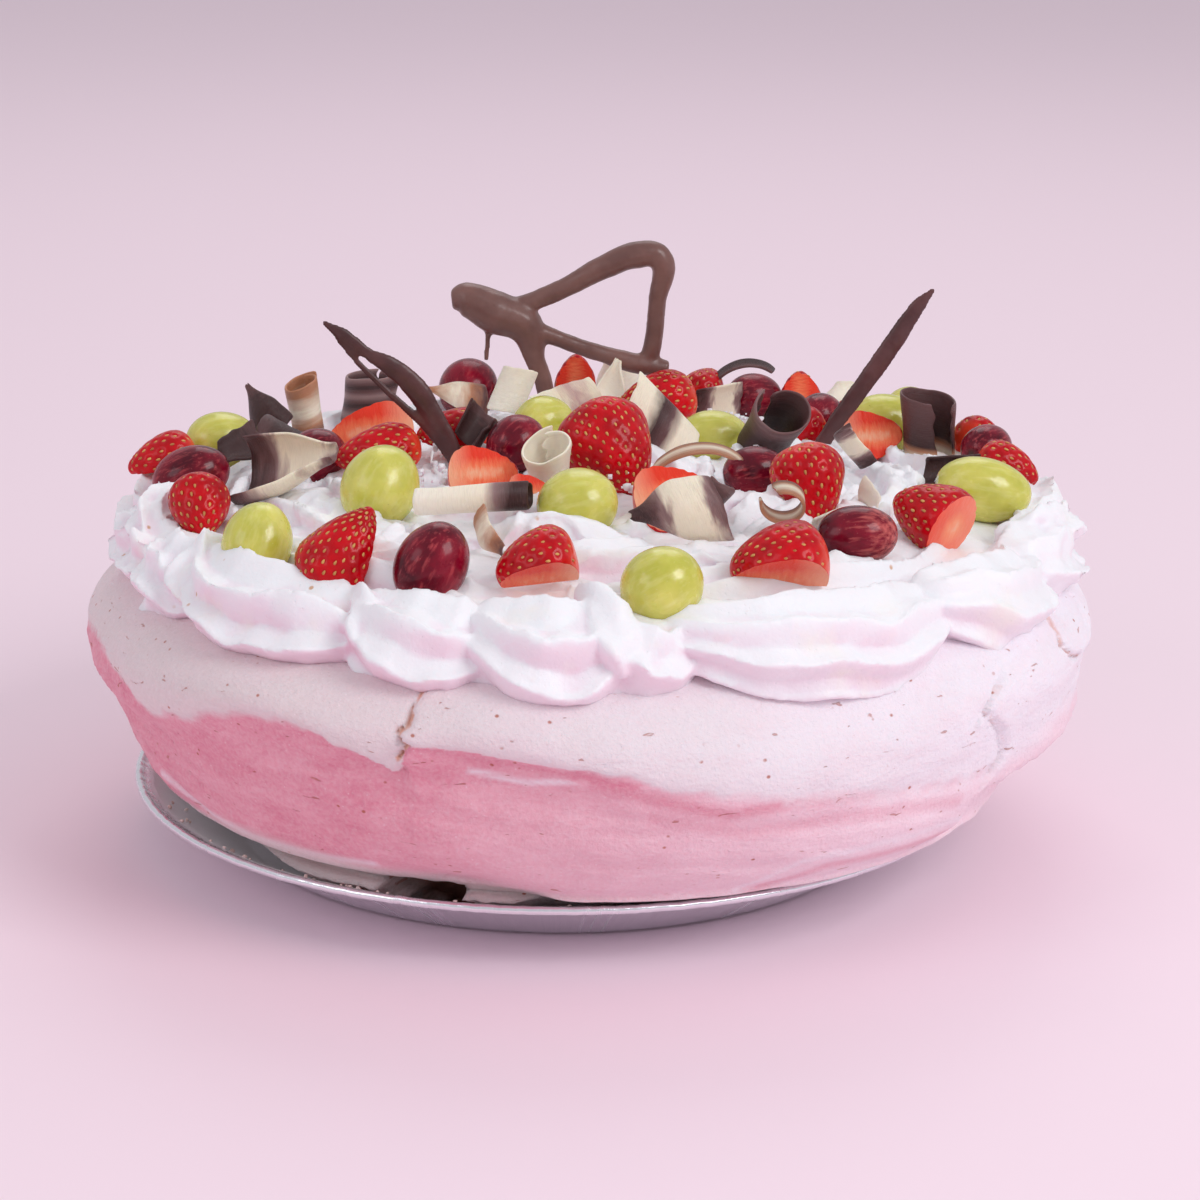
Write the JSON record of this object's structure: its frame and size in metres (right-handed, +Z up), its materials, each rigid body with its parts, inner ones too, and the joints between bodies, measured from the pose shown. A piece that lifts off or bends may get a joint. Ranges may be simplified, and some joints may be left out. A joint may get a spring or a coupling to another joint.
{
  "type": "pavlova",
  "caption": "Large round pavlova in a foil tray: baked meringue base with a piped cream border, cut fruit, grapes and chocolate shavings.",
  "frame": {"origin": "centre of the foil tray's flat base, on the surface it stands on", "axes": "+Z up; the shown front of the cake faces -Y, +X to its right"},
  "size_m": [0.2966, 0.2975, 0.1615],
  "materials": {
    "foil": "thin pressed foil, bright and finely creased",
    "meringue": "dry baked meringue, pale blush crust with fine cracks, pores and brown specks",
    "cream": "soft whipped cream, satin, slightly translucent",
    "green_grape": "smooth translucent skin with pale bloom and small brown marks",
    "red_grape": "smooth glossy skin, mottled paler near the stem end",
    "strawberry": "glossy dimpled skin with straw-coloured seeds; cut faces orange-red to pale",
    "milk_chocolate": "satin set milk chocolate",
    "dark_shaving": "dark chocolate shaving with dusty scrapes",
    "white_shaving": "white chocolate shaving",
    "marbled_shaving": "white and dark chocolate swirled together"
  },
  "bodies": {
    "root": {"foil_tray": "foil", "meringue": "meringue", "whipped_cream": "cream", "green_grape_01": "green_grape", "green_grape_02": "green_grape", "green_grape_03": "green_grape", "green_grape_04": "green_grape", "green_grape_05": "green_grape", "green_grape_06": "green_grape", "green_grape_07": "green_grape", "green_grape_08": "green_grape", "green_grape_09": "green_grape", "green_grape_10": "green_grape", "red_grape_01": "red_grape", "red_grape_02": "red_grape", "red_grape_03": "red_grape", "red_grape_04": "red_grape", "red_grape_05": "red_grape", "red_grape_06": "red_grape", "red_grape_07": "red_grape", "red_grape_08": "red_grape", "red_grape_09": "red_grape", "red_grape_10": "red_grape", "strawberry_01": "strawberry", "strawberry_02": "strawberry", "strawberry_03": "strawberry", "strawberry_04": "strawberry", "strawberry_05": "strawberry", "strawberry_06": "strawberry", "strawberry_07": "strawberry", "strawberry_08": "strawberry", "strawberry_09": "strawberry", "strawberry_10": "strawberry", "strawberry_11": "strawberry", "strawberry_12": "strawberry", "strawberry_13": "strawberry", "strawberry_14": "strawberry", "strawberry_15": "strawberry", "strawberry_16": "strawberry", "strawberry_17": "strawberry", "strawberry_18": "strawberry", "strawberry_19": "strawberry", "strawberry_20": "strawberry", "strawberry_21": "strawberry", "strawberry_22": "strawberry", "strawberry_23": "strawberry", "chocolate_curl_01": "dark_shaving", "chocolate_curl_02": "white_shaving", "chocolate_curl_03": "marbled_shaving", "chocolate_curl_04": "marbled_shaving", "chocolate_curl_05": "white_shaving", "chocolate_curl_06": "white_shaving", "chocolate_curl_07": "white_shaving", "chocolate_curl_08": "marbled_shaving", "chocolate_curl_09": "marbled_shaving", "chocolate_curl_10": "dark_shaving", "chocolate_curl_11": "dark_shaving", "chocolate_loop": "milk_chocolate", "chocolate_blade_left": "milk_chocolate", "chocolate_blade_right": "milk_chocolate"}
  },
  "joints": []
}
